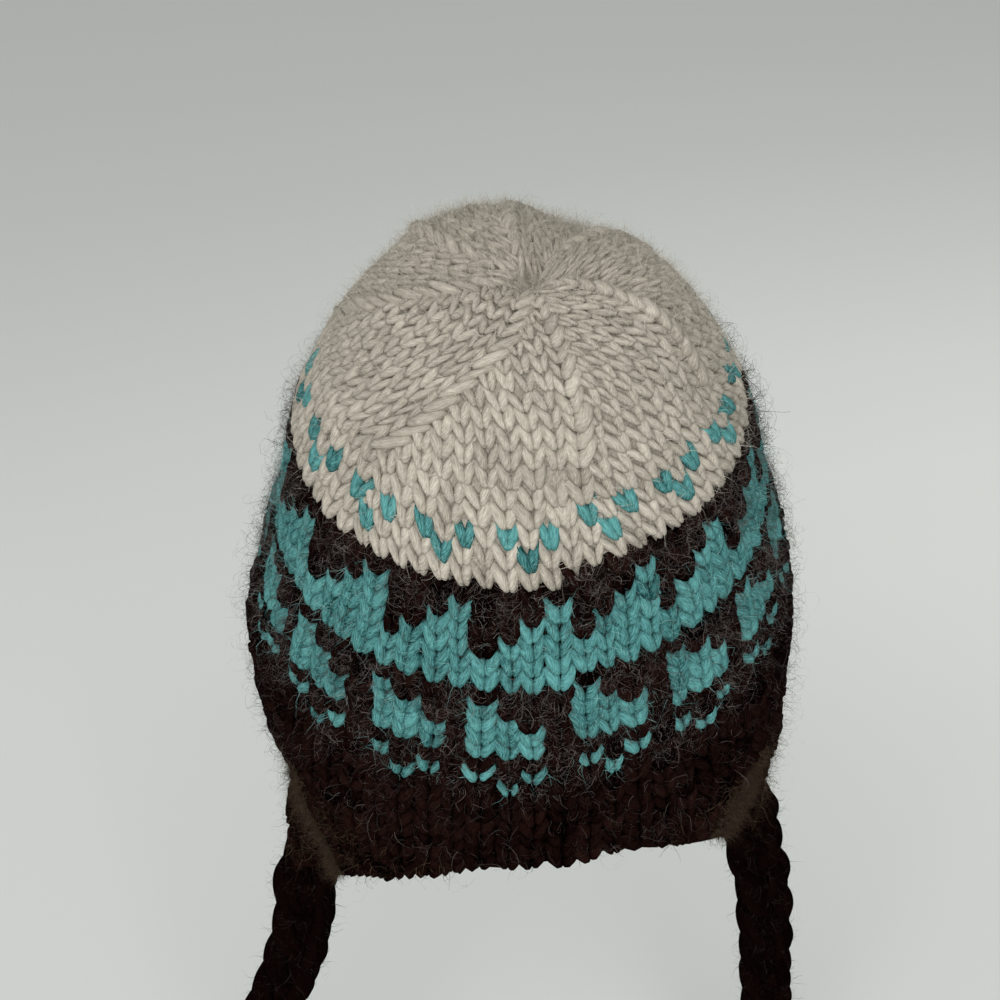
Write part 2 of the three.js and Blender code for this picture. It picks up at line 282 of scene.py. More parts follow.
def column_angle(column):
    """Plan angle of a stitch column: even steps, drawn together at the back and front by a sine of twice
    the angle, and a little uneven from one column to the next."""
    even = PEAK_ANGLE + 360 / STITCHES * (column - 2)
    drawn = even - BACK_DRAW * np.sin(2 * np.radians(even + 90))
    return drawn + COLUMN_DRIFT * np.sin(2.39 * column)


def round_shift(distance, angle):
    """How far the spiral lifts a stitch above the level of its round's end: a row's height at the start,
    less as the round goes on, and nothing at the top and at the rim."""
    share = ((angle - column_angle(FIRST_COLUMN - 0.5)) % 360) / 360
    fade = np.clip(distance / TOP_FADE, 0, 1) * np.clip((rim_edge - distance) / RIM_FADE, 0, 1)
    return ROUND_STEP * (1 - share) * fade


LEG_POINTS, LEG_SIDES = 5, 6
LEG_FOOT, LEG_RISE = -0.60, 1.16  # lower end and rise of a leg, in rows
LEG_APART, LEG_SPREAD, LEG_BEND = 0.105, 0.395, 1.4  # start and gain across, in widths, and the gain's power
LEG_HALF, LEG_THICK = 0.268, 1.18  # half width of a leg, in widths, and its thickness over its width
LEG_LEVEL, LEG_TILT = -1.6, 1.8  # where a leg's middle lies, and how much lower its upper end is
SEAM_LEAN, SEAM_SWELL, SEAM_LIFT = 0.30, 0.6, 0.8  # extra lean, width and height of a leg on a seam
# unevenness of the legs' height, spread, slant, width and level, and of their place along the yarn
LEG_UNEVEN = np.reshape((0.2, 0.06, 0.07, 0.08, 0.22, 200.0), (6, 1, 1, 1))
leg_t = (1 - np.cos(np.pi * np.arange(LEG_POINTS) / (LEG_POINTS - 1))) / 2
leg_ring = np.radians((-30, 20, 65, 115, 160, 210))  # most points on the outer half


def stitch_legs(width, row, seam, size, rng):
    """Both legs of every stitch in its own flat space, as across, up and out, in arrays of stitch, leg, point
    and ring. A leg starts upright beside the point of the V and bends outward with a power of its run. It
    swells as a part of an ellipse, lies on top at its lower end and tilts under the row above at its upper
    one. Where seam is 1, the second leg is larger and leans over the next wedge; size scales both legs. With
    them come the flow along and round the yarn and a tone: its own for each stitch, plus painted shade that
    darkens the ends and the sides of a leg."""
    count = len(width)
    uneven = LEG_UNEVEN * rng.standard_normal((6, count, 2, 1))
    t = leg_t[None, None]
    side = np.array((-1.0, 1.0))[None, :, None]
    width, row, seam, size = (part[:, None, None] for part in (width, row, seam, size))
    large = seam * (side > 0)
    up = size * row * (LEG_FOOT + LEG_RISE * t) * (1 + 0.04 * large) + uneven[0]
    across = side * width * (LEG_APART + 0.1 * (1 - size) + LEG_SPREAD * t**LEG_BEND)
    across = across * (1 + uneven[1]) + (uneven[2] + SEAM_LEAN * large) * (up + 2.0)
    swell = np.sqrt(1 - ((t - 0.55) / 0.6) ** 2)
    half = size * LEG_HALF * width * (1 + uneven[3] - 0.04 * side) * (1 + SEAM_SWELL * large) * swell
    out = LEG_LEVEL + uneven[4] + SEAM_LIFT * large + LEG_TILT * (0.5 - t)
    slope_across, slope_up = (np.gradient(part, leg_t, axis=2) for part in (across, up))
    length = np.hypot(slope_across, slope_up)
    ring, half = np.cos(leg_ring), half[..., None]
    run = np.hypot(np.gradient(across, axis=2), np.gradient(up, axis=2))
    along = np.cumsum(run, axis=2) + uneven[5]
    flow = np.stack(np.broadcast_arrays(along[..., None], 1.2 * half * leg_ring), -1)
    own_tone = rng.normal(0, 0.1, (count, 1, 1, 1))
    # painted shade: the tone is lowered down the sides of each leg and towards its ends
    tone = own_tone + 0.3 * (np.sin(leg_ring) - 0.8) + 0.35 * (swell[..., None] - 1)
    tone = np.broadcast_to(tone, flow.shape[:-1])
    return (
        across[..., None] + half * (slope_up / length)[..., None] * ring,
        up[..., None] - half * (slope_across / length)[..., None] * ring,
        out[..., None] + LEG_THICK * half * np.sin(leg_ring),
    ), flow, tone


leg_caps = np.array(
    [(0, 5, 4, 3), (0, 3, 2, 1)]
    + [tuple((LEG_POINTS - 1) * LEG_SIDES + i for i in cap) for cap in ((0, 1, 2, 3), (0, 3, 4, 5))]
)


def leg_faces(count):
    """Faces of like legs: a closed tube with two four-cornered faces over each end."""
    one = np.concatenate((grid_faces(LEG_POINTS, LEG_SIDES, True), leg_caps))
    return (one[None] + (np.arange(count) * LEG_POINTS * LEG_SIDES)[:, None, None]).reshape(-1, 4)


def cap_stitches(distance, anchor, swirl, beside, width, row, seam, size, rng):
    """Stitches laid on the cap. Each stands at a distance from the top, beside millimetres round from its
    anchor, a plan angle that turns by swirl degrees for each millimetre above the first decrease. They wander
    a little to both sides."""
    (across, up, out), flow, tone = stitch_legs(width, row, seam, size, rng)
    distance = distance - round_shift(distance, anchor + beside * degrees_across(distance, anchor))
    distance, anchor, swirl, beside = (
        part[:, None, None, None] for part in (distance, anchor, swirl, beside)
    )
    at = np.maximum(distance - up, 0.3)
    turned = anchor + swirl * np.clip(SWIRL_START - at, 0, None)
    wander = 0.45 * np.sin(at / 9 + anchor / 7) + 0.3 * np.sin(at / 4.3 - anchor / 11)
    return cap_point(at, turned + (beside + across + wander) * degrees_across(at, turned), out), flow, tone


def lay_stitches(name, made, chosen, material):
    """Mesh of the chosen stitches, on the frame."""
    points, flow, tone = (part[chosen] for part in made)
    piece = lay_mesh(name, points, leg_faces(2 * len(points)), material, flow, tone)
    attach(piece, "root")
    return piece


def purl(down, across, row):
    """Height from 0 to 1 of the purl side: ridges one row apart, waving by a quarter row with each stitch."""
    return 0.5 + 0.5 * np.cos(2 * np.pi * (down / row + 0.25 * np.sin(2 * np.pi * across)))


def cap_fabric(name, start, end, row, depth, material):
    """Closed wall behind the stitches, from one distance to another: its outside runs at a depth under the
    cap's surface, and its inside, on the wall's inner face, has the purl ridges. Its tone is lowered all
    over, as painted shade for the gaps between the stitches where it shows."""
    outside = np.linspace(start, end, 16)
    inside = np.linspace(end, start, int(3 * (end - start) / row) + 1)
    distance = np.r_[outside, inside][:, None]
    column = np.linspace(STITCHES, 0, 2 * STITCHES, endpoint=False)[None]
    within = (np.arange(len(distance)) >= len(outside))[:, None]
    lift = np.where(within, PURL_HEIGHT * purl(distance, column, row) - WALL, -depth)
    points = cap_point(distance + 0 * column, column_angle(column) + 0 * distance, lift)
    points = np.concatenate((points, points[:1]))
    flow = np.stack(np.broadcast_arrays(np.r_[distance, distance[:1]], 7.0 * column), -1)
    piece = lay_mesh(
        name, points, grid_faces(*points.shape[:2], True), material, flow,
        np.full(points.shape[:2], FABRIC_PAINTED_SHADE),
    )
    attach(piece, "root")


def stray(name, shade, light):
    """Loose fibres: matt, between two colours by each fibre's own tone."""
    material = bpy.data.materials.new(name)
    material.use_nodes = True
    tree = material.node_tree
    shader = tree.nodes["Principled BSDF"]
    shader.inputs["Roughness"].default_value = 0.8
    shader.inputs["Specular IOR Level"].default_value = 0.15
    tone = tree.nodes.new("ShaderNodeAttribute")
    tone.attribute_name = "tone"
    colour = tree.nodes.new("ShaderNodeMix")
    colour.data_type = "RGBA"
    colour.inputs["A"].default_value = (*shade, 1.0)
    colour.inputs["B"].default_value = (*light, 1.0)
    tree.links.new(tone.outputs["Fac"], colour.inputs["Factor"])
    tree.links.new(colour.outputs["Result"], shader.inputs["Base Color"])
    return material


def stitch_roots(points, share, count, rng):
    """Random places on the outer half of the stitches' legs, and the direction out of the yarn there. Each
    stitch gets its share of them."""
    legs = points.reshape(-1, LEG_POINTS, LEG_SIDES, 3)
    leg = rng.choice(len(legs), count, p=np.repeat(share / share.sum() / 2, 2))
    at, around = (rng.integers(0, n, count) for n in (LEG_POINTS - 2, 4))
    between = rng.random((count, 1, 1))
    ring = legs[leg, at + 1] * (1 - between) + legs[leg, at + 2] * between
    root = ring[np.arange(count), around + 1]
    return root, root - ring.mean(axis=1)


def fibres(name, roots, outward, length, curl, lean, half_width, steps, tone, material, slot, rng):
    """Loose fibres as narrow ribbons. Each leaves its root part way from straight out towards a random
    direction and winds as a drawn-out coil: an arc of its length and curl in radians, in a random plane, that
    also moves sideways by a third of its length and waves by a sine of twice the turn. It narrows to its
    tip."""
    count = len(roots)

    def unit(vectors):
        return vectors / np.linalg.norm(vectors, axis=1, keepdims=True)

    outward = unit(outward)
    stray_way, bend, flat = (unit(rng.standard_normal((count, 3))) for _ in range(3))
    start = unit(outward * (1 - lean)[:, None] + unit(stray_way + 0.25 * outward) * lean[:, None])
    bend = unit(np.cross(start, bend) + 0.3 * outward)
    sideways = unit(np.cross(start, bend))
    flat = unit(np.cross(start, flat))
    t = np.linspace(0, 1, steps + 1)[None, :, None]
    turn = curl[:, None, None] * (0.6 * t + 0.4 * t * t)
    line = roots[:, None] + length[:, None, None] * (
        (np.sin(turn) * start[:, None] + (1 - np.cos(turn)) * bend[:, None]) / curl[:, None, None]
        + (0.33 * t + 0.08 * np.sin(2 * turn + 6 * tone[:, None, None])) * sideways[:, None]
    )
    half = half_width * (1.15 - t) * flat[:, None]
    points = np.stack((line - half, line + half), 2)
    piece = lay_mesh(
        name, points, grid_faces(steps + 1, 2, False, count), material, None,
        np.broadcast_to(tone[:, None, None], points.shape[:3]),
    )
    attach(piece, "root")


brown_wool = wool(
    "brown_wool", shade=(0.0003, 0.0001, 0.0001), light=(0.0172, 0.0072, 0.0057), sheen=0.0, fibre_depth=0.5
)
teal_wool = wool(
    "turquoise_wool", shade=(0.004, 0.042, 0.041), light=(0.154, 0.435, 0.425), sheen=0.05, fibre_depth=0.4
)
rng = np.random.default_rng(31)
row_heights = np.array([height for _, height in BAND_CHART])
row_heights *= (rim_edge - crown_edge) / row_heights.sum()
row_ends = crown_edge + np.cumsum(row_heights)
row_index, column_index = (grid.ravel() for grid in np.meshgrid(
    np.arange(len(row_heights)), FIRST_COLUMN + np.arange(STITCHES), indexing="ij"
))
chart = np.array([[".tT".index(stitch) for stitch in row] for row, _ in BAND_CHART])
stitch_kind = chart[row_index, column_index % 4]
band_teal = stitch_kind > 0
band_distance = row_ends[row_index] - row_heights[row_index] / 2
band_angle = column_angle(column_index)
band_width = (column_angle(column_index + 0.5) - column_angle(column_index - 0.5)) / degrees_across(
    band_distance, band_angle
)
nothing = np.zeros(len(row_index))
band_made = cap_stitches(
    band_distance, band_angle, nothing, nothing, band_width, ROW_COVER * row_heights[row_index], nothing,
    np.where(stitch_kind == 1, SMALL_STITCH, 1.0), rng,
)
BROWN_DEPTH, BROWN_SHIFT = 1.9, 0.05  # the dark yarn's tone is stretched and lowered, which deepens its painted shade down the sides and ends of the legs
brown_made = (*band_made[:2], BROWN_DEPTH * band_made[2] - BROWN_SHIFT)
band_yarn = lay_stitches("band_brown_stitches", brown_made, ~band_teal, brown_wool)
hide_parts("band")
lay_stitches("band_turquoise_stitches", band_made, band_teal, teal_wool)
cap_fabric(
    "band_purl_side", crown_edge - 6.0, rim_edge + 0.6, row_heights[-1], BAND_FABRIC, brown_wool
)

brown_stray = stray("brown_fibres", shade=(0.010, 0.005, 0.0038), light=(0.25, 0.215, 0.195))
teal_stray = stray("turquoise_fibres", shade=(0.10, 0.33, 0.32), light=(0.34, 0.60, 0.58))
count = 13500
patterned = row_index < PATTERN_ROWS
chosen = ~band_teal & patterned
roots, outward = stitch_roots(band_made[0][chosen], nothing[chosen] + 1, count, rng)
fibres(
    "band_pattern_fibres", roots, outward,
    length=rng.uniform(7, 17, count), curl=rng.uniform(4, 9, count), lean=rng.uniform(0.5, 1, count),
    half_width=0.052, steps=7, tone=rng.random(count) ** 1.3, material=brown_stray, slot="brown", rng=rng,
)
count = 2200
roots, outward = stitch_roots(band_made[0][~patterned], nothing[~patterned] + 1, count, rng)
fibres(
    "band_rim_fibres", roots, outward,
    length=rng.uniform(8, 19, count), curl=rng.uniform(3, 8, count), lean=rng.uniform(0.5, 1, count),
    half_width=0.05, steps=10, tone=0.45 * rng.random(count) ** 2 + 0.5 * (rng.random(count) < 0.05),
    material=brown_stray, slot="brown", rng=rng,
)
count = 11000
roots, outward = stitch_roots(band_made[0][band_teal], nothing[band_teal] + 1, count, rng)
fibres(
    "band_turquoise_fibres", roots, outward,
    length=rng.uniform(2, 7.5, count), curl=rng.uniform(1.0, 3.4, count), lean=rng.uniform(0.6, 1, count),
    half_width=0.05, steps=2, tone=rng.random(count), material=teal_stray, slot="brown", rng=rng,
)
count = 2600
roots, outward = stitch_roots(band_made[0], np.where(patterned, 1 - 0.5 * band_teal, 0.3), count, rng)
fibres(
    "band_wild_fibres", roots, outward,
    length=rng.uniform(9, 20, count), curl=rng.uniform(3, 7, count), lean=rng.uniform(0.2, 0.9, count),
    half_width=0.085, steps=8, tone=0.03 + 0.27 * rng.random(count),
    material=brown_stray, slot="brown", rng=rng,
)

# Crown: cream stocking stitch that goes on from the band. Seven lines of decreases close it, and on each of
# them the stitches of one wedge run into the edge of the next. Turquoise dots sit near its lower edge.
CREAM_ROWS = 18
LOW_ROW = 6.3  # height of the lowest row; the rows above get lower by even steps
FULL_ROWS = 3  # rows at the lower edge that have one stitch for each of the band's
CREAM_COVER, TOP_COVER = 1.1, 1.4  # height of a stitch over its row's, and the same in the top row
SEAM_FADE = 22.0  # distance from the top within which the legs on the seams get smaller
CROWN_CHART = {15: "T.T.", 16: ".T.."}
DOT_SIZE = 1.14
CROWN_FABRIC = 1.7
CREAM_STITCH = (4.2, 0.038)  # width of a stitch at the top, and what it gains with each millimetre from it
FELT_REACH = 60.0  # distance from the top over which the wool has felted
# column at which each wedge ends, and the swirl of that seam in degrees for a millimetre
WEDGE_ENDS = np.array((
    (-17.5, 0.62), (-7.5, 0.72), (4.5, 0.0), (13.5, 0.0),
    (22.5, 0.3), (30.5, 0.45), (38.5, 0.6), (46.5, 0.62),
))
cream_wool = wool(
    "cream_wool", shade=(0.262, 0.234, 0.190), light=(0.645, 0.592, 0.503), sheen=0.12, fibre_depth=0.4
)
rng = np.random.default_rng(41)
row_gain = (LOW_ROW - crown_edge / CREAM_ROWS) / CREAM_ROWS
stitch_parts = []
for row in range(1, CREAM_ROWS):
    row_height = LOW_ROW - 2 * row_gain * (CREAM_ROWS - row - 0.5)
    at = crown_edge - (CREAM_ROWS - row - 0.5) * (row_height + LOW_ROW) / 2
    above = np.clip(SWIRL_START - at, 0, None)
    for (first, first_swirl), (last, last_swirl) in zip(WEDGE_ENDS[:-1], WEDGE_ENDS[1:]):
        low, high = column_angle(first), column_angle(last)
        turned_low, turned_high = low + first_swirl * above, high + last_swirl * above
        arc = (turned_high - turned_low) / degrees_across(at, (turned_low + turned_high) / 2)
        count = int(last - first) if row >= CREAM_ROWS - FULL_ROWS else max(
            1, int(round(arc / (CREAM_STITCH[0] + CREAM_STITCH[1] * at)))
        )
        number = np.arange(count)
        tall = row_height * (TOP_COVER if row == 1 else CREAM_COVER)
        seam = (number == 0) * (at < SWIRL_START) * min(1, at / SEAM_FADE)
        stitch_parts.append(np.stack(np.broadcast_arrays(
            at, high, last_swirl, -(number + 0.5) * arc / count, arc / count, tall, seam, row,
            np.ceil(last) - 1 - number,
        ), -1))
(
    crown_distance, crown_anchor, crown_swirl, crown_beside, crown_width, crown_tall, crown_seam, crown_row,
    crown_column,
) = np.concatenate(stitch_parts).T
crown_teal = np.array([
    CROWN_CHART.get(int(row), "....")[int(column) % 4] == "T" for row, column in zip(crown_row, crown_column)
])
crown_made = cap_stitches(
    crown_distance, crown_anchor, crown_swirl, crown_beside, crown_width, crown_tall, crown_seam,
    np.where(crown_teal, DOT_SIZE, 1.0), rng,
)
crown_yarn = lay_stitches("crown_cream_stitches", crown_made, ~crown_teal, cream_wool)
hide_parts("crown")
lay_stitches("crown_turquoise_stitches", crown_made, crown_teal, teal_wool)
cap_fabric(
    "crown_purl_side", 0.3, crown_edge + 0.5, crown_edge / CREAM_ROWS, CROWN_FABRIC, cream_wool
)
cream_stray = stray("cream_fibres", shade=(0.36, 0.325, 0.27), light=(0.68, 0.63, 0.55))
# most fuzz is on the top and towards the face
felted = np.exp(-((crown_distance / FELT_REACH) ** 4)) * (1 + np.sin(np.radians(crown_anchor)))
fuzz = ((0.5 + felted) * crown_width)[~crown_teal]
count = 27000
roots, outward = stitch_roots(crown_made[0][~crown_teal], fuzz, count, rng)
fibres(
    "crown_fibres", roots, outward,
    length=rng.uniform(1.5, 6, count), curl=rng.uniform(0.8, 2.6, count), lean=rng.uniform(0.2, 0.95, count),
    half_width=0.06, steps=2, tone=rng.random(count), material=cream_stray, slot="cream", rng=rng,
)
count = 2200
roots, outward = stitch_roots(crown_made[0][~crown_teal], fuzz, count, rng)
fibres(
    "crown_long_fibres", roots, outward,
    length=rng.uniform(6, 15, count), curl=rng.uniform(2.5, 7, count), lean=rng.uniform(0.2, 0.9, count),
    half_width=0.045, steps=7, tone=rng.random(count), material=cream_stray, slot="cream", rng=rng,
)

# Ear flaps: the band's columns go on below the rim and narrow to a tip on each side. A twisted edge yarn goes
# round them, and a soft fold runs down each one towards the back.
FLAP_GAP = 0.3
FLAP_DROP = 105.0
# drop below the rim and half width of the flaps' sections
FLAP_SECTIONS = np.array(((0, 95), (20, 96.2), (45, 96.8), (70, 94.6), (90, 92), (105, 90)), dtype=float)
FLAP_BACK, FLAP_FRONT = 10.0, 140.0  # degrees from the middle of the back at which the flap leaves the rim
FLAP_TIP, FLAP_TIP_HALF = 85.0, 8.0
FLAP_CURVE = 0.71  # below 1 the slanted edges bow inwards
FOLD_TOP, FOLD_LOW, FOLD_DROP, FOLD_HEIGHT, FOLD_HALF = 61.0, 50.0, 51.0, 2.0, 5.0
FOLD_FADE = 14.0  # drop in which the fold fades below its end
FLAP_ROW = 5.42
FLAP_STITCH = 5.6  # degrees round of a stitch on the purl side
FLAP_FABRIC, FLAP_CLOSE = 2.6, 4.2  # how deep the wall's outside runs, and where it closes at both ends
WALL_ROWS, WALL_COLUMNS = 60, 40
EDGE_INSET, EDGE_DEPTH = 1.8, 2.8  # where the edge yarn lies: degrees in from the edge, and how deep
EDGE_PITCH, EDGE_OFFSET, EDGE_RADIUS = 11.0, 1.5, 1.9  # length of a twist, and its strands' place and radius
FELT_SHEEN_INSET = 2.5  # degrees in from the edge at which the felt may start
# felted strip on each flap, real fuzz whose pale olive colour is partly painted sheen: degrees from the back
# at its upper and lower end, drop of both ends, and spread
FELT_SHEEN = {"left": (61, 50, 2, 54, 1.1), "right": (47, 38, 4, 27, 4.2)}
flap_radius = table_curve(FLAP_SECTIONS[:, 0], FLAP_SECTIONS[:, 1])


def from_back(angle):
    """Degrees from the middle of the back, on either side, of a plan angle."""
    return np.abs((angle + 270) % 360 - 180)


def flap_edges(drop):
    """Degrees from the back of a flap's two slanted edges: they go from the rim to the tip with a power of
    the drop."""
    share = np.clip(drop / FLAP_DROP, 0, 1) ** FLAP_CURVE
    return (
        FLAP_BACK + (FLAP_TIP - FLAP_TIP_HALF - FLAP_BACK) * share,
        FLAP_FRONT + (FLAP_TIP + FLAP_TIP_HALF - FLAP_FRONT) * share,
    )


def flap_point(drop, angle, lift):
    """Point of an ear flap at a drop below the rim: an oval of the flap's radius with the soft dents, lifted
    by the fold, which is a bell across a line that leans back as it goes down and fades below its end."""
    middle = FOLD_TOP + (FOLD_LOW - FOLD_TOP) * drop / FOLD_DROP
    fade = np.clip((FOLD_DROP + FOLD_FADE - drop) / FOLD_FADE, 0, 1) * np.clip(drop / 12, 0, 1)
    fold = FOLD_HEIGHT * fade * np.exp(-(((from_back(angle) - middle) / FOLD_HALF) ** 2))
    radius, turn = flap_radius(drop) + lift + fold + dents(-drop, angle), np.radians(angle)
    return np.stack((radius * np.cos(turn), OVAL * radius * np.sin(turn), -FLAP_GAP - drop + 0 * turn), -1)


YARN_SIDES = 6


def yarn_tubes(centres, across, outward, radius, sides=YARN_SIDES):
    """Tubes round centre lines: each ring is the centre plus the radius times the cosine of the ring's angle
    across the line and its sine outward. Arrays run tube, point, axis."""
    angle = 2 * np.pi * np.arange(sides) / sides
    radius = np.broadcast_to(radius, centres.shape[:2])[..., None, None]
    return centres[:, :, None] + radius * (
        across[:, :, None] * np.cos(angle)[:, None] + outward[:, :, None] * np.sin(angle)[:, None]
    )


# the flaps' fuzz: real fibres, their pale olive colour partly painted sheen of the brown wool seen at a
# grazing angle
olive_fuzz_and_sheen = stray("flap_fibres", shade=(0.018, 0.011, 0.0066), light=(0.130, 0.087, 0.050))
for side_name, middle_angle, seed in (("left", -175.0, 51), ("right", -5.0, 52)):
    rng = np.random.default_rng(seed)
    hand = np.sign(middle_angle + 90)
    drop, column = (grid.ravel() for grid in np.meshgrid(
        FLAP_ROW * (np.arange(int(FLAP_DROP / FLAP_ROW)) + 0.5), np.arange(STITCHES), indexing="ij"
    ))
    angle = column_angle(column)
    angle = (angle - middle_angle + 180) % 360 - 180 + middle_angle
    wide = column_angle(column + 0.5) - column_angle(column - 0.5)
    back, front = flap_edges(drop)
    here = (from_back(angle) - 0.4 * wide > back) & (from_back(angle) + 0.4 * wide < front)
    here &= np.abs(angle - middle_angle) < 90
    drop, angle, wide = drop[here], angle[here], wide[here]
    (across, up, out), flow, tone = stitch_legs(
        np.radians(wide) * flap_radius(drop), np.full(len(drop), ROW_COVER * FLAP_ROW), np.zeros(len(drop)),
        np.ones(len(drop)), rng,
    )
    low = drop[:, None, None, None] - up
    turned = angle[:, None, None, None] + np.degrees(across / flap_radius(low))
    # the dark yarn's painted shade is deepened here, as in the band
    made = flap_point(low, turned, out), flow, BROWN_DEPTH * tone - BROWN_SHIFT
    flap = lay_stitches("earflap_%s_stitches" % side_name, made, slice(None), brown_wool)
    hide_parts("earflap_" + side_name)

    share = np.linspace(0, 1, WALL_COLUMNS)
    drop = np.r_[0, np.linspace(0, FLAP_DROP, WALL_ROWS), FLAP_DROP][:, None]
    back, front = flap_edges(drop)
    around = np.r_[share, share[::-1]][None]
    inside = (np.arange(2 * WALL_COLUMNS) >= WALL_COLUMNS)[None]
    at = back + (front - back) * around
    ridges = PURL_HEIGHT * purl(drop, at / FLAP_STITCH, FLAP_ROW)
    lift = np.where(inside, ridges - WALL, -FLAP_FABRIC)
    lift[[0, -1]] = -FLAP_CLOSE
    points = flap_point(drop + 0 * at, -90 + hand * at, lift)
    points = points if hand < 0 else points[:, ::-1]
    # the flap's wall also gets the lowered tone, as painted shade for the gaps between the stitches
    wall = lay_mesh(
        "earflap_%s_purl_side" % side_name, points, grid_faces(*points.shape[:2], True), brown_wool,
        np.stack(np.broadcast_arrays(drop, 1.6 * at), -1), np.full(points.shape[:2], FABRIC_PAINTED_SHADE),
    )
    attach(wall, "root")

    step = np.linspace(0, FLAP_DROP, WALL_ROWS)
    back, front = flap_edges(step)
    tip = np.linspace(back[-1], front[-1], 8)
    edge = np.concatenate((
        flap_point(step, -90 + hand * (back + EDGE_INSET), -EDGE_DEPTH),
        flap_point(np.full(len(tip), FLAP_DROP), -90 + hand * tip, -EDGE_DEPTH),
        flap_point(step[::-1], -90 + hand * (front[::-1] - EDGE_INSET), -EDGE_DEPTH),
    ))
    way = np.gradient(edge, axis=0)
    way /= np.linalg.norm(way, axis=1, keepdims=True)
    outward = edge * (1, 1, 0)
    outward /= np.linalg.norm(outward, axis=1, keepdims=True)
    across = np.cross(way, outward)
    across /= np.linalg.norm(across, axis=1, keepdims=True)
    run = np.r_[0, np.cumsum(np.linalg.norm(np.diff(edge, axis=0), axis=1))]
    turn = 2 * np.pi * (run[None] / EDGE_PITCH + np.array((0.0, 0.5))[:, None])
    wind = np.cos(turn)[..., None] * across + np.sin(turn)[..., None] * outward
    strands = edge[None] + EDGE_OFFSET * wind
    tubes = yarn_tubes(
        strands, np.broadcast_to(across, strands.shape), np.broadcast_to(outward, strands.shape), EDGE_RADIUS
    )
    uv = np.stack(np.broadcast_arrays(run[:, None], 2.0 * np.arange(YARN_SIDES)), -1)
    edging = lay_mesh(
        "earflap_%s_edge" % side_name, tubes, grid_faces(len(edge), YARN_SIDES, True, 2), brown_wool,
        np.broadcast_to(uv, tubes.shape[:3] + (2,)), np.zeros(tubes.shape[:3]),
    )
    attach(edging, "root")

    count = 2400
    roots, outward = stitch_roots(made[0], wide, count, rng)
    fibres(
        "earflap_%s_fibres" % side_name, roots, outward,
        length=rng.uniform(5, 14, count), curl=rng.uniform(2, 5, count), lean=rng.uniform(0.45, 1, count),
        half_width=0.06, steps=6, tone=0.8 * rng.random(count) ** 1.3,
        material=olive_fuzz_and_sheen, slot="brown", rng=rng,
    )
    count = 3600
    upper, lower, felt_start, felt_end, spread = FELT_SHEEN[side_name]
    share = rng.random(count)
    drop = np.maximum(felt_start + (felt_end - felt_start) * share + 1.5 * rng.standard_normal(count), 0)
    at = upper + (lower - upper) * share + spread * rng.standard_normal(count)
    at = np.maximum(at, flap_edges(drop)[0] + FELT_SHEEN_INSET)
    roots = flap_point(drop, -90 + hand * at, rng.uniform(0.0, 1.2, count))
    # partly painted sheen: pale olive fibres along the fold
    fibres(
        "earflap_%s_felt" % side_name, roots, roots * (1, 1, 0),
        length=rng.uniform(2.5, 7, count), curl=rng.uniform(0.8, 3, count),
        lean=rng.uniform(0.75, 1, count), half_width=0.06, steps=2, tone=0.55 * rng.random(count),
        material=olive_fuzz_and_sheen, slot="brown", rng=rng,
    )

# Ties: each is a plait of three thick strands of dark brown wool, every strand a bundle of yarns laid side by
# side. They start at the tip of an ear flap and hang down under their own weight.
TIE_ROUTES = {
    "tie_left": (
        (-89.0, -8.5, -105.65), (-89.0, -8.5, -110), (-89.4, -8.7, -116), (-91.0, -9.2, -125),
        (-93.2, -9.8, -138), (-95.0, -10, -151), (-97.2, -10, -165), (-100.6, -10, -180),
        (-105.0, -10, -195), (-110.2, -10, -211), (-116.0, -10, -227), (-121.0, -10, -243),
        (-125.2, -10, -260), (-128.4, -9.8, -278), (-130.6, -9.4, -297), (-131.8, -9, -317),
        (-132.2, -8.6, -338), (-132.2, -8.2, -360),
    ),
    "tie_right": (
        (88.5, -8.5, -105.65), (88.5, -8.5, -110), (88.9, -8.2, -116), (90.4, -7.4, -126),
        (92.6, -6.6, -140), (95.2, -6.1, -156), (98.4, -6, -172), (101.8, -6, -190),
        (104.2, -6, -208), (105.8, -6, -226), (107.2, -6, -244), (108.8, -6, -263),
        (110.6, -6, -282), (112.2, -6, -300), (113.4, -6, -318), (114.2, -6, -337),
        (114.6, -6, -356), (114.8, -6, -376),
    ),
}
PLAIT_PITCH = 84.0  # length in which one strand comes back to the same side
PLAIT_SWING = {"tie_left": 7.8, "tie_right": 7.0}
PLAIT_DEPTH = 3.8
STRAND_YARNS = 4
STRAND_RADIUS = 2.7  # from a strand's middle to the middle of its outer yarns
YARN_WIND = 90.0  # length in which a yarn winds once round its strand
TIE_YARN_RADIUS = 3.2
TIE_CORE = 4.6  # radius of the yarn that fills the middle, so that no gap shows between the strands
TIE_SPACING = 2.4  # between the rings of a yarn


def route_curve(route, spacing):
    """Points at about even spacing on the smooth curve through a route, with the curve's direction: between
    two route points it is the cubic whose slopes are those of the neighbouring chords."""
    route = np.array(route, dtype=float)
    along = np.concatenate(([0.0], np.cumsum(np.linalg.norm(np.diff(route, axis=0), axis=1))))
    slope = np.gradient(route, along, axis=0)
    at = np.linspace(0.0, along[-1], int(along[-1] / spacing) + 1)
    part = np.clip(np.searchsorted(along, at, "right") - 1, 0, len(along) - 2)
    width = (along[part + 1] - along[part])[:, None]
    t = ((at - along[part]) / width[:, 0])[:, None]
    rise = t * t * (3 - 2 * t)
    points = (
        route[part] * (1 - rise)
        + route[part + 1] * rise
        + width * (slope[part] * t * (1 - t) ** 2 - slope[part + 1] * t * t * (1 - t))
    )
    direction = np.gradient(points, at, axis=0)
    direction /= np.linalg.norm(direction, axis=1, keepdims=True)
    return at, points, direction


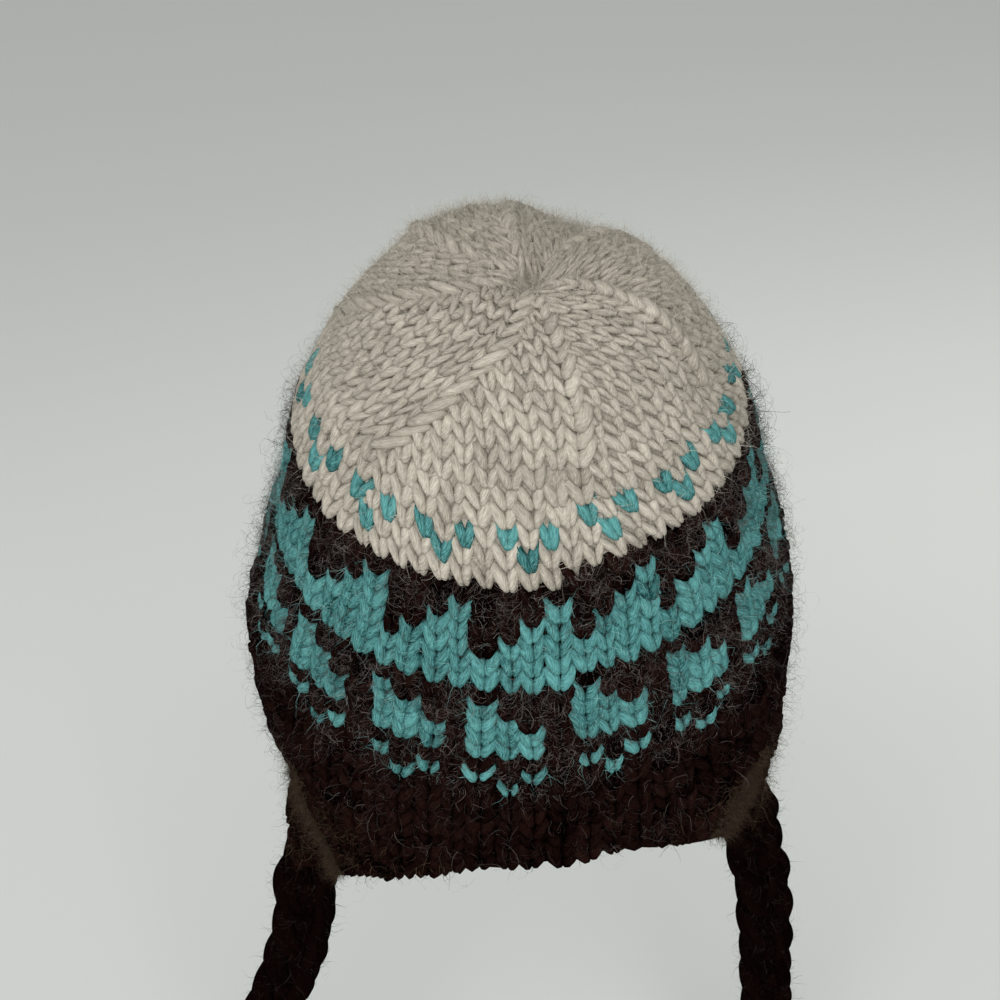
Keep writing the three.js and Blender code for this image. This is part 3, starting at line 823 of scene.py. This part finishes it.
def plait(route, swing, rng):
    """Yarns of a three-strand plait. A strand swings across by the sine of its phase and to and fro by the
    sine of twice the phase, the strands a third of a turn apart; its yarns wind slowly round the strand's
    middle. The swing is less at both ends, where the flap and the knot hold the strands together, and a core
    fills the middle."""
    at, line, direction = route_curve(route, TIE_SPACING)
    side = np.cross(direction, (0.0, 1.0, 0.0))
    side /= np.linalg.norm(side, axis=1, keepdims=True)
    face = np.cross(side, direction)
    strand = np.repeat(np.arange(3), STRAND_YARNS)[:, None]
    yarn = np.tile(np.arange(STRAND_YARNS), 3)[:, None]
    phase = 2 * np.pi * (at[None] / PLAIT_PITCH + strand / 3)
    tight = np.clip(np.minimum((at + 4) / 26, (at[-1] - at + 9) / 22), 0, 1)[None]
    across = swing * tight * np.sin(phase)
    deep = PLAIT_DEPTH * np.sin(2 * phase)
    start = rng.uniform(0, 6, (3, 1))[strand[:, 0]]
    turn = 2 * np.pi * (yarn / STRAND_YARNS + at[None] / YARN_WIND) + start
    across = across + STRAND_RADIUS * np.cos(turn)
    deep = deep + STRAND_RADIUS * 0.9 * np.sin(turn)
    centres = line[None] + across[..., None] * side[None] + deep[..., None] * face[None]
    swell = 1 + 0.12 * np.sin(at[None] / 5.3 + rng.uniform(0, 6, (3 * STRAND_YARNS, 1)))
    ends = np.clip(np.minimum(np.arange(len(at)), np.arange(len(at))[::-1]), 0.15, 1)[None]
    shape = centres.shape
    tubes = yarn_tubes(
        centres, np.broadcast_to(side, shape), np.broadcast_to(face, shape), TIE_YARN_RADIUS * swell * ends
    )
    uv = np.stack(
        np.broadcast_arrays(at[None, :, None], np.arange(YARN_SIDES) * 2.4 + yarn[..., None] * 20), -1
    )
    tone = np.broadcast_to(rng.uniform(-0.25, 0.15, (len(tubes), 1, 1)), tubes.shape[:3])
    core = yarn_tubes(line[None], side[None], face[None], TIE_CORE * ends)
    return np.concatenate((tubes, core)), np.concatenate((uv, uv[:1])), np.concatenate((tone, tone[:1]))


tie_wool = wool(
    "tie_wool", shade=(0.0008, 0.0003, 0.0002), light=(0.0068, 0.0029, 0.0022), sheen=0.0, fibre_depth=0.5
)
for side_name, seed in (("tie_left", 11), ("tie_right", 12)):
    rng = np.random.default_rng(seed)
    tubes, tube_uv, tube_tone = plait(TIE_ROUTES[side_name], PLAIT_SWING[side_name], rng)
    copies, rows, columns = tubes.shape[:3]
    braid = lay_mesh(
        side_name + "_braid", tubes, grid_faces(rows, columns, True, copies), tie_wool, tube_uv, tube_tone
    )
    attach(braid, "root")
    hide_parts(side_name)

    count = 2200
    tube, at, ring = (rng.integers(0, n, count) for n in (copies, rows, columns))
    roots = tubes[tube, at, ring]
    fibres(
        side_name + "_fibres", roots, roots - tubes[:, at].mean(axis=(0, 2)),
        length=rng.uniform(4, 11, count), curl=rng.uniform(1.5, 4.5, count),
        lean=rng.uniform(0.2, 0.9, count), half_width=0.065, steps=6, tone=0.15 * rng.random(count),
        material=brown_stray, slot="brown", rng=rng,
    )

# Tie ends: the three strands are tied off in one overhand knot, and the yarn ends hang out below it as a
# short, loose tassel.
KNOT_RADIUS = 14.0
KNOT_HEIGHT = 24.0
KNOT_RAISE = 4.0  # the knot closes over the end of the plait
KNOT_YARN_RADIUS = 2.5
KNOT_WRAPS, KNOT_POINTS = 7, 25
TASSEL_YARNS = 34
TASSEL_LENGTH = 46.0
TASSEL_SPREAD = 13.5
TASSEL_YARN_RADIUS = 1.6
TASSEL_POINTS, TASSEL_SIDES = 14, 5
TASSEL_TURN = 2.39996  # golden angle, which spreads the yarns evenly


def tie_end(rng):
    """Yarns of a knot and tassel below the origin. A wrap of the knot is a ring that bulges by a power of the
    sine of its height and dips as it goes round; a tassel yarn goes from the knot's middle outward with the
    square root of its drop."""
    t = np.linspace(0, 1, KNOT_POINTS)[None]
    level = (np.arange(KNOT_WRAPS)[:, None] + 0.5) / KNOT_WRAPS
    turn = 2 * np.pi * t + rng.uniform(0, 6, (KNOT_WRAPS, 1))
    bulge = (KNOT_RADIUS - KNOT_YARN_RADIUS) * np.sin(np.pi * (0.1 + 0.8 * level)) ** 0.55
    height = -KNOT_HEIGHT * level + 3.2 * np.sin(turn + level * 5)
    ring = np.stack((bulge * np.cos(turn), bulge * np.sin(turn), height), -1)
    ring_out = np.stack((np.cos(turn), np.sin(turn), 0 * turn), -1)
    ring_up = np.broadcast_to((0.0, 0.0, 1.0), ring.shape)
    knot = yarn_tubes(ring, ring_up, ring_out, KNOT_YARN_RADIUS * 1.15)

    t = np.linspace(0, 1, TASSEL_POINTS)[None]
    angle = np.arange(TASSEL_YARNS)[:, None] * TASSEL_TURN
    reach = TASSEL_SPREAD * np.sqrt((np.arange(TASSEL_YARNS)[:, None] + 0.5) / TASSEL_YARNS)
    sway = 1.6 * np.sin(5 * t + rng.uniform(0, 6, (TASSEL_YARNS, 1)))
    out = reach * (0.25 + 0.75 * np.sqrt(t))
    uneven = rng.uniform(0, 7, (TASSEL_YARNS, 1))
    drop = KNOT_HEIGHT * 0.7 + (TASSEL_LENGTH + KNOT_HEIGHT * 0.3 - uneven) * t
    line = np.stack((out * np.cos(angle) + sway, out * np.sin(angle) - sway * 0.6, -drop), -1)
    across = np.broadcast_to(np.stack((-np.sin(angle), np.cos(angle), 0 * angle), -1), line.shape)
    outward = np.broadcast_to(np.stack((np.cos(angle), np.sin(angle), 0 * angle), -1), line.shape)
    ends = np.where(t > 0.97, 0.25, np.where(t < 0.03, 0.3, 1.0))
    radius = TASSEL_YARN_RADIUS * ends * (1 + 0.12 * np.sin(9 * t + angle))
    return knot, yarn_tubes(line, across, outward, radius, TASSEL_SIDES)


for side_name, seed in (("tie_left", 21), ("tie_right", 22)):
    rng = np.random.default_rng(seed)
    knot, tassel = tie_end(rng)
    hang = np.array(TIE_ROUTES[side_name][-1]) + (0, 0, KNOT_RAISE)
    knot_faces = grid_faces(KNOT_POINTS, YARN_SIDES, True, len(knot))
    tassel_faces = grid_faces(TASSEL_POINTS, TASSEL_SIDES, True, len(tassel))
    points = np.concatenate((knot.reshape(-1, 3), tassel.reshape(-1, 3))) + hang
    flow = []
    for tubes, along, around in ((knot, 3.4, 2.4), (tassel, 3.6, 2.0)):
        rows, columns = tubes.shape[1:3]
        uv = np.stack(np.meshgrid(np.arange(rows) * along, np.arange(columns) * around, indexing="ij"), -1)
        flow.append(np.broadcast_to(uv, tubes.shape[:3] + (2,)).reshape(-1, 2))
    end = lay_mesh(
        side_name.replace("tie", "tie_end") + "_tassel",
        points,
        np.concatenate((knot_faces, tassel_faces + knot.size // 3)),
        tie_wool,
        np.concatenate(flow),
        rng.uniform(-0.2, 0.15, len(points)),
    )
    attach(end, "root")
    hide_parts(side_name.replace("tie", "tie_end"))
    at, line, _ = route_curve(TIE_ROUTES[side_name], TIE_SPACING)

# A pale floor below the tie ends, with painted light: it glows a little behind the hat in a soft bell that
# stands in for the light on a lit backdrop; and soft light from a wide source over the camera with an even
# pale surround.
FLOOR = -470.0
FLOOR_HALF, FLOOR_POINTS = 6000, 61
PAINTED_GLOW_LOW, PAINTED_GLOW_HIGH = 0.022, 0.13
spread = np.linspace(-1, 1, FLOOR_POINTS) ** 3
across, deep = (FLOOR_HALF * part for part in np.meshgrid(spread, spread))
# painted light: the floor's emission, strongest in a bell behind the hat and brighter towards +X
bell = np.exp(-(((deep - 470) / 330) ** 2) - ((across - 200) / 900) ** 2)
painted_glow = PAINTED_GLOW_LOW + PAINTED_GLOW_HIGH * bell * (1 + across / 1300)
floor_material = bpy.data.materials.new("floor")
floor_material.use_nodes = True
floor_shader = floor_material.node_tree.nodes["Principled BSDF"]
floor_shader.inputs["Base Color"].default_value = (0.74, 0.76, 0.735, 1.0)
floor_shader.inputs["Roughness"].default_value = 0.9
# painted light: the floor emits this colour, as strongly as its tone
floor_shader.inputs["Emission Color"].default_value = (1.0, 1.0, 0.93, 1.0)
floor_painted_glow = floor_material.node_tree.nodes.new("ShaderNodeAttribute")
floor_painted_glow.attribute_name = "tone"
floor_material.node_tree.links.new(floor_painted_glow.outputs["Fac"], floor_shader.inputs["Emission Strength"])
floor = lay_mesh(
    "floor", np.stack((across, deep, 0 * deep + FLOOR), -1), grid_faces(FLOOR_POINTS, FLOOR_POINTS, False),
    floor_material, None, painted_glow,
)

world = bpy.data.worlds.new("surround")
world.use_nodes = True
world.node_tree.nodes["Background"].inputs["Color"].default_value = (0.97, 1.0, 0.985, 1.0)
world.node_tree.nodes["Background"].inputs["Strength"].default_value = 0.36
bpy.context.scene.world = world
lamp = bpy.data.objects.new("lamp", bpy.data.lights.new("lamp", "AREA"))
lamp.data.energy = 32.0
lamp.data.size = 1.8
lamp.location = (-0.22, -1.22, 1.25)
lamp.rotation_euler = (Vector((0, 0, 0.05)) - lamp.location).to_track_quat("-Z", "Y").to_euler()
bpy.context.scene.collection.objects.link(lamp)
